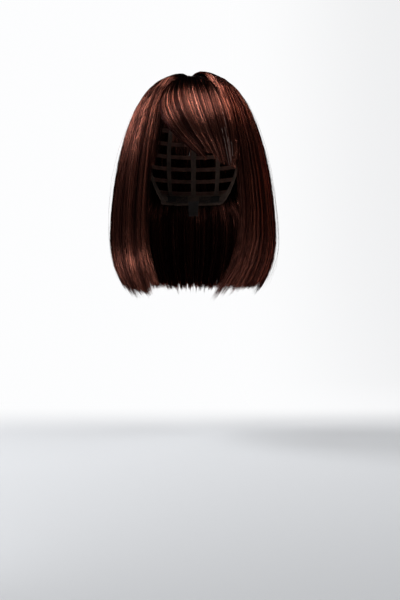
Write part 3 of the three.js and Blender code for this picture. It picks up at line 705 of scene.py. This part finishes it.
def finish_cap(weave, net, handling):
    """Gives the cap and its fittings their materials, and returns the elastic's."""
    dye, scuffs = (handling, {"Size": 14.0}), (handling, {"Size": 5.0, "Grain": 0.7})
    soft, steel = {"Specular_IOR_Level": 0.25}, {"Metallic": 1.0}

    def threads(apart_round, apart_up):
        return weave, {"Round": apart_round, "Up": apart_up}

    def netting(mesh):
        return net, {"Mesh": mesh}

    # Pattern and patches, two colours, roughness, the threads' height and other values.
    looks = {
        "cap_mesh": (
            netting(1.7), dye, (0.014, 0.009, 0.007), (0.17, 0.11, 0.085), (0.8, 0.95), 0.4, soft
        ),
        "elastic_band": (
            threads(1.5, 1.1), dye, (0.045, 0.03, 0.023), (0.2, 0.135, 0.105), (0.7, 0.9), 0.35, soft
        ),
        "weft_stitching": (
            threads(0.9, 2.0), dye, (0.025, 0.012, 0.009), (0.22, 0.105, 0.075), (0.55, 0.8), 0.4, soft
        ),
        "skin_film": (
            netting(0.9), dye, (0.46, 0.27, 0.18), (0.36, 0.2, 0.13), (0.5, 0.7), 0.06, soft
        ),
        "hook_and_loop": (
            netting(0.7), scuffs, (0.006, 0.005, 0.005), (0.05, 0.044, 0.04), (0.85, 1.0), 0.5, soft
        ),
        "satin_label": (
            threads(0.8, 0.3), dye, (0.05, 0.045, 0.042), (0.1, 0.09, 0.085), (0.25, 0.4), 0.08, {}
        ),
        "clip_steel": (
            threads(0.35, 30.0), scuffs, (0.24, 0.2, 0.18), (0.5, 0.45, 0.42), (0.25, 0.5), 0.02, steel
        ),
        "clip_grip": (
            threads(0.6, 6.0), scuffs, (0.1, 0.06, 0.045), (0.2, 0.13, 0.1), (0.4, 0.6), 0.05, {}
        ),
    }
    finishes = {name: finish(name, *look) for name, look in looks.items()}
    for part in frame["record"]["subparts"]:
        if part["material_slot"] in finishes:
            node = frame["nodes"][part["node"]]
            node.data.materials.clear()
            node.data.materials.append(finishes[part["material_slot"]])
    return finishes["elastic_band"]


# ---- Stitches -----------------------------------------------------------------------------------

# The cap's fabrics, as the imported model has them: distances over the scalp and heights, in mm.
BAND_WIDTH, RIB_WIDTH, RIB_LAP, CROWN_EDGE = 16, 8, 8, 72
RIB_TURNS = [90, 120, 150, 180, 210, 240, 270]
RIB_FACE, WEFT_FACE, TAPE_FACE, LABEL_FACE, HOOK_FACE = 1.3, 2.4, -1.1, -0.8, -1.8
WEFT_HEIGHTS, WEFT_FIRST_TURN, WEFT_WIDTH = 62 - 19 * np.arange(7), 72, 6
TAPE_TURNS, TAPE_WIDTH = (141, 172), 10
HOOK_TURNS, HOOK_WIDTH = (143, 156), 9
ELASTIC_TURNS, ELASTIC_WIDTH, ELASTIC_THICKNESS = (124, 142.8), 7, 0.8
ELASTIC_FACES = (-0.3, -1.8)  # at its two ends
LABEL_HALF_TURN, LABEL_TOP = 5.2, -66
THREAD_RADIUS, PILE_RADIUS = 0.17 * MM, 0.05 * MM
THREAD_PROUD = 0.08  # of the face that it is sewn to

# How wide each zigzag is, in mm, and how many stitches one row of it has.
BAND_ZIGZAG, WEFT_ZIGZAG, RIB_ZIGZAG = (1.6, 420), (1.3, 240), (0.9, 60)
TAPE_ZIGZAG, LABEL_ZIGZAG = (0.8, 50), (0.9, 21)
BAND_SEAM, WEFT_SEAM, LABEL_SEAM = 1.5, 1.4, 1.2  # from an edge, from the middle and from the top
RIB_SEAM, TAPE_SEAM = 0.36, 0.4  # from the middle, as shares of the width
LOOPS, LOOP_HEIGHT, HOOKS, HOOK_HEIGHT = 700, -0.45, 350, 0.3  # on each tape; heights run outwards
SIDES = (("left", 1), ("right", -1))


def cap_edge(turn):
    """Height of the cap's lower edge in mm: the hairline, the fall behind the ears and the nape."""
    turn = unfold(turn)[1]
    return mix(38, 0, smooth((turn - 45) / 45)) - 72 * smooth((turn - 100) / 40)


def over_scalp(turn, z, out):
    """Points at a turn, a height on the scalp and a distance out from it, both in mm."""
    tall = np.where(z < 0, SCALP[3], SCALP[2])
    lift, angle = np.arcsin(z * MM / tall), np.radians(turn)
    out = out * MM
    across = (SCALP[0] + out) * np.cos(lift) * np.sin(angle)
    deep = -(SCALP[1] + out) * np.cos(lift) * np.cos(angle)
    return np.stack([across, deep, (tall + out) * np.sin(lift)], axis=-1)


def zigzag(turns, heights, face, width, stitches):
    """A row of zigzag stitches between two turns, along heights given at a turn."""
    turn = np.linspace(turns[0], turns[1], stitches)
    side = np.where(np.arange(stitches) % 2, 0.5, -0.5) * width
    return over_scalp(turn, heights(turn) + side, face - THREAD_PROUD)


def upright_zigzag(turn, low, high, face, width, stitches):
    """A row of zigzag stitches up the scalp at a turn."""
    z = np.linspace(low, high, stitches)
    side = np.where(np.arange(stitches) % 2, 0.5, -0.5) * width
    return over_scalp(turn + np.degrees(side * MM / SCALP[1]), z, face - THREAD_PROUD)


def sewn(name, rows, thread, body="cap", radius=THREAD_RADIUS):
    """One piece of thread for each row of points, on a body."""
    paths = np.stack(rows)
    radii = np.full(paths.shape[:2], radius, np.float32)
    piece = strand_mesh(name, paths, radii, rng.uniform(0.2, 0.8, len(paths)))
    piece.data.materials.append(thread)
    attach(piece, body)


def weft_start(z):
    """The turn from which a weft at a height, in mm, lies clear of the cap's edge."""
    turn = WEFT_FIRST_TURN
    while cap_edge(turn) > z - WEFT_WIDTH:
        turn += 1
    return turn


def hoops(turns, width, face, tall, count, far_foot=-0.1):
    """Small hoops that stand on a tape in the nape band. far_foot is how high the far foot ends, as
    a share of their height: a hook is open there."""
    turn = rng.uniform(*turns, count)
    z = cap_edge(turn) + BAND_WIDTH / 2 + rng.uniform(-0.47, 0.47, count) * width
    span = rng.uniform(0.25, 0.4, count) * rng.choice([-1, 1], count)
    rows = []
    for share, rise in ((-1, -0.1), (-0.8, 0.6), (0, 1.0), (0.8, 0.7), (1.0, far_foot)):
        rows.append(over_scalp(turn + share * span, z + 0.2 * share, face + rise * tall))
    return np.stack(rows, axis=1)


def stretch_elastics(fabric):
    """The adjusters' elastics, each fixed to the side band and stretched by its hook tape."""
    for side, sign in SIDES:
        shape = bmesh.new()
        bmesh.ops.create_grid(shape, x_segments=32, y_segments=4, size=0.5)
        u, v = (np.array([vertex.co.xy for vertex in shape.verts]) + 0.5).T
        turn = mix(*ELASTIC_TURNS, u)
        z = cap_edge(turn) + BAND_WIDTH / 2 + ELASTIC_WIDTH * (v - 0.5)
        places = over_scalp(sign * turn, z, mix(*ELASTIC_FACES, smooth(u * 1.6)))
        for vertex, place in zip(shape.verts, places):
            vertex.co = place
        bmesh.ops.recalc_face_normals(shape, faces=shape.faces)
        bmesh.ops.solidify(shape, geom=shape.faces[:], thickness=ELASTIC_THICKNESS * MM)
        bmesh.ops.recalc_face_normals(shape, faces=shape.faces)
        # The rim's faces come in no fixed order, so all are sorted along an uneven direction.
        across = Vector((1.0, 0.62, 0.27))
        shape.faces.sort(key=lambda face: face.calc_center_median().dot(across))
        mesh = bpy.data.meshes.new(f"stretch_elastic_{side}")
        shape.to_mesh(mesh)
        shape.free()
        mesh.materials.append(fabric)
        piece = bpy.data.objects.new(mesh.name, mesh)
        bpy.context.scene.collection.objects.link(piece)
        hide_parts(f"adjuster_elastic_{side}")
        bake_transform(piece)


def sew_adjuster(side, sign, thread):
    """The loop tape's two seams and its pile, and the hooks on the tape that moves over it."""
    ends = [sign * turn for turn in TAPE_TURNS]
    rows = []
    for up in (-TAPE_SEAM * TAPE_WIDTH, TAPE_SEAM * TAPE_WIDTH):
        middle = BAND_WIDTH / 2 + up
        rows.append(zigzag(ends, lambda turn: cap_edge(turn) + middle, TAPE_FACE, *TAPE_ZIGZAG))
    sewn(f"loop_tape_stitches_{side}", rows, thread)
    loop_turns = sorted([sign * (TAPE_TURNS[0] + 0.5), sign * (TAPE_TURNS[1] - 0.5)])
    loops = hoops(loop_turns, 0.7 * TAPE_WIDTH, TAPE_FACE, LOOP_HEIGHT, LOOPS)
    sewn(f"loop_pile_{side}", loops, thread, radius=PILE_RADIUS)
    hook_turns = sorted([sign * (HOOK_TURNS[0] + 0.5), sign * (HOOK_TURNS[1] - 0.5)])
    hooks = hoops(hook_turns, HOOK_WIDTH, HOOK_FACE, HOOK_HEIGHT, HOOKS, 0.35)
    sewn(f"hooks_{side}", hooks, thread, f"adjuster_{side}", PILE_RADIUS)


def sew_cap(weave, handling):
    """The seams of the band, the wefts, the ribs, the adjusters and the label."""
    cross, worn = (weave, {"Round": 0.4, "Up": 0.4}), (handling, {"Size": 9.0})
    dark, light = (0.05, 0.026, 0.02), (0.26, 0.15, 0.11)
    thread = finish("sewing_thread", cross, worn, dark, light, (0.5, 0.75), 0.03, {})
    rows = []
    for up in (BAND_SEAM, BAND_WIDTH - BAND_SEAM):
        rows.append(zigzag((0.5, 359.5), lambda turn: cap_edge(turn) + up, 0, *BAND_ZIGZAG))
    sewn("band_hem_stitches", rows, thread)
    rows = []
    for z in WEFT_HEIGHTS:
        start = weft_start(z) + 0.5
        for up in (-WEFT_SEAM, WEFT_SEAM):
            rows.append(zigzag((start, 360 - start), lambda turn: z + up, WEFT_FACE, *WEFT_ZIGZAG))
    sewn("weft_stitches", rows, thread)
    rows = []
    half_turn = np.degrees(RIB_SEAM * RIB_WIDTH * MM / SCALP[1])
    for turn in RIB_TURNS:
        low, high = cap_edge(turn) + BAND_WIDTH - RIB_LAP, CROWN_EDGE + RIB_LAP
        for side in (-half_turn, half_turn):
            rows.append(upright_zigzag(turn + side, low, high, RIB_FACE, *RIB_ZIGZAG))
    sewn("rib_stitches", rows, thread)
    for side, sign in SIDES:
        sew_adjuster(side, sign, thread)
    ends = (180 - 0.9 * LABEL_HALF_TURN, 180 + 0.9 * LABEL_HALF_TURN)
    rows = [zigzag(ends, lambda turn: LABEL_TOP - LABEL_SEAM + 0 * turn, LABEL_FACE, *LABEL_ZIGZAG)]
    sewn("label_stitches", rows, thread)


# ---- Camera, light and floor --------------------------------------------------------------------

CAMERA_X, CAMERA_DISTANCE, CAMERA_HEIGHT = 0.0105, 1.6, -0.2215
VIEW_HEIGHT = 0.9  # of what the camera sees at the wig
SENSOR_WIDTH = 36
FLOOR_Z = -0.42

PAPER_COLOUR, PAPER_SEEN_AS = (0.52, 0.535, 0.56, 1), (0.98, 0.983, 0.99, 1)
# Where its even colour gives way to its shaded one: an axis, the places where it has given way and
# where it hasn't, and what is left of it there.
# Along X the paper gives way to its shaded colour to the right of the wig: painted shade on that side.
PAPER_FADES = (("Y", -0.05, 0.4, 0.25), ("Y", -1.7, -0.3, 0.5), ("X", 0.6, 0.1, 0.84))

# Each lamp's name, its place, what it points at, its width and height, and its power in watts.
LAMPS = (
    ("key", (-0.92, -0.5, 0.88), (0, 0, 0), (0.7, 0.7), 13.5),
    ("fill", (0.7, -0.25, 1.0), (0, 0, 0), (0.6, 0.6), 6),
    ("left_rim", (-0.9, 0.35, 0.75), (-0.09, 0, 0.04), (0.5, 0.5), 15),
    ("right_rim", (0.9, 0.35, 0.75), (0.09, 0, 0.04), (0.5, 0.5), 3),
    ("overhead", (0, -0.3, 1.15), (0, 0, 0), (0.9, 0.4), 2),
    ("bounce", (-0.55, -0.62, -0.34), (-0.08, -0.09, -0.2), (0.8, 0.16), 1.3),
)
WORLD_COLOUR, WORLD_STRENGTH = (0.9, 0.95, 1, 1), 0.045


def make_camera():
    data = bpy.data.cameras.new("camera")
    camera = bpy.data.objects.new("camera", data)
    bpy.context.scene.collection.objects.link(camera)
    camera.location = (CAMERA_X, -CAMERA_DISTANCE, CAMERA_HEIGHT)
    camera.rotation_euler = (math.radians(90), 0, 0)
    data.sensor_width = SENSOR_WIDTH
    data.lens = SENSOR_WIDTH * CAMERA_DISTANCE / VIEW_HEIGHT
    data.clip_start = 0.05
    bpy.context.scene.camera = camera


def area_light(name, place, aim, size, power):
    """A rectangular lamp that points at a place."""
    data = bpy.data.lights.new(name, "AREA")
    data.shape = "RECTANGLE"
    data.size, data.size_y = size
    data.energy = power
    lamp = bpy.data.objects.new(name, data)
    bpy.context.scene.collection.objects.link(lamp)
    lamp.location = place
    lamp.rotation_euler = (Vector(aim) - Vector(place)).to_track_quat("-Z", "Y").to_euler()


def paper():
    """Seamless paper. Seen directly or in a reflection, it is mostly its own even colour, whiter up
    the backdrop than on the floor, and it keeps the shadow that falls on it. From behind or below
    it is clear, so it never hides the wig."""
    made, tree, shader = new_material("paper", Base_Color=PAPER_COLOUR, Roughness=0.85)
    path = add_node(tree, "ShaderNodeLightPath").outputs
    share = calculate(tree, "MAXIMUM", path["Is Camera Ray"], path["Is Glossy Ray"])
    share = calculate(tree, "MAXIMUM", share, path["Is Transmission Ray"])
    place = add_node(tree, "ShaderNodeSeparateXYZ", {"Vector": object_place(tree)}).outputs
    for axis, faded, full, left in PAPER_FADES:
        even = remap(tree, place[axis], (faded, full), (left, 1), "SMOOTHSTEP")
        share = calculate(tree, "MULTIPLY", share, even)
    even = add_node(tree, "ShaderNodeEmission", {"Color": PAPER_SEEN_AS, "Strength": 1.0}).outputs[0]
    inputs = {0: share, 1: shader.outputs[0], 2: even}
    both = add_node(tree, "ShaderNodeMixShader", inputs).outputs[0]
    behind = add_node(tree, "ShaderNodeNewGeometry").outputs["Backfacing"]
    clear = add_node(tree, "ShaderNodeBsdfTransparent").outputs[0]
    one_sided = add_node(tree, "ShaderNodeMixShader", {0: behind, 1: both, 2: clear}).outputs[0]
    tree.links.new(one_sided, tree.nodes["Material Output"].inputs["Surface"])
    return made


def make_stage():
    """One sweep of pale paper: a floor that curves up into the backdrop."""
    bend, back, front, half, top = 0.6, 1.5, 6.0, 5.0, 0.8
    profile = [(-front, FLOOR_Z), (back - bend, FLOOR_Z)]
    for step in range(1, 11):
        turn = math.radians(9 * step)
        profile.append((back - bend + bend * math.sin(turn), FLOOR_Z + bend - bend * math.cos(turn)))
    profile.append((back, top))
    shape = bmesh.new()
    row = [shape.verts.new((-half, y, z)) for y, z in profile]
    edges = [shape.edges.new(pair) for pair in zip(row, row[1:])]
    grown = bmesh.ops.extrude_edge_only(shape, edges=edges)
    moved = [v for v in grown["geom"] if isinstance(v, bmesh.types.BMVert)]
    bmesh.ops.translate(shape, verts=moved, vec=(2 * half, 0, 0))
    for face in shape.faces:
        face.smooth = True
    mesh = bpy.data.meshes.new("backdrop")
    shape.to_mesh(mesh)
    shape.free()
    mesh.materials.append(paper())
    backdrop = bpy.data.objects.new("backdrop", mesh)
    bpy.context.scene.collection.objects.link(backdrop)


def make_lights():
    for lamp in LAMPS:
        area_light(*lamp)
    world = bpy.data.worlds.new("studio")
    bpy.context.scene.world = world
    world.use_nodes = True
    background = world.node_tree.nodes["Background"]
    background.inputs["Color"].default_value = WORLD_COLOUR
    background.inputs["Strength"].default_value = WORLD_STRENGTH


make_camera()
make_hair()
weave, net, handling = weave_group(), net_group(), handling_group()
elastic = finish_cap(weave, net, handling)
stretch_elastics(elastic)
sew_cap(weave, handling)
make_stage()
make_lights()
bpy.context.scene.view_settings.view_transform = "Standard"
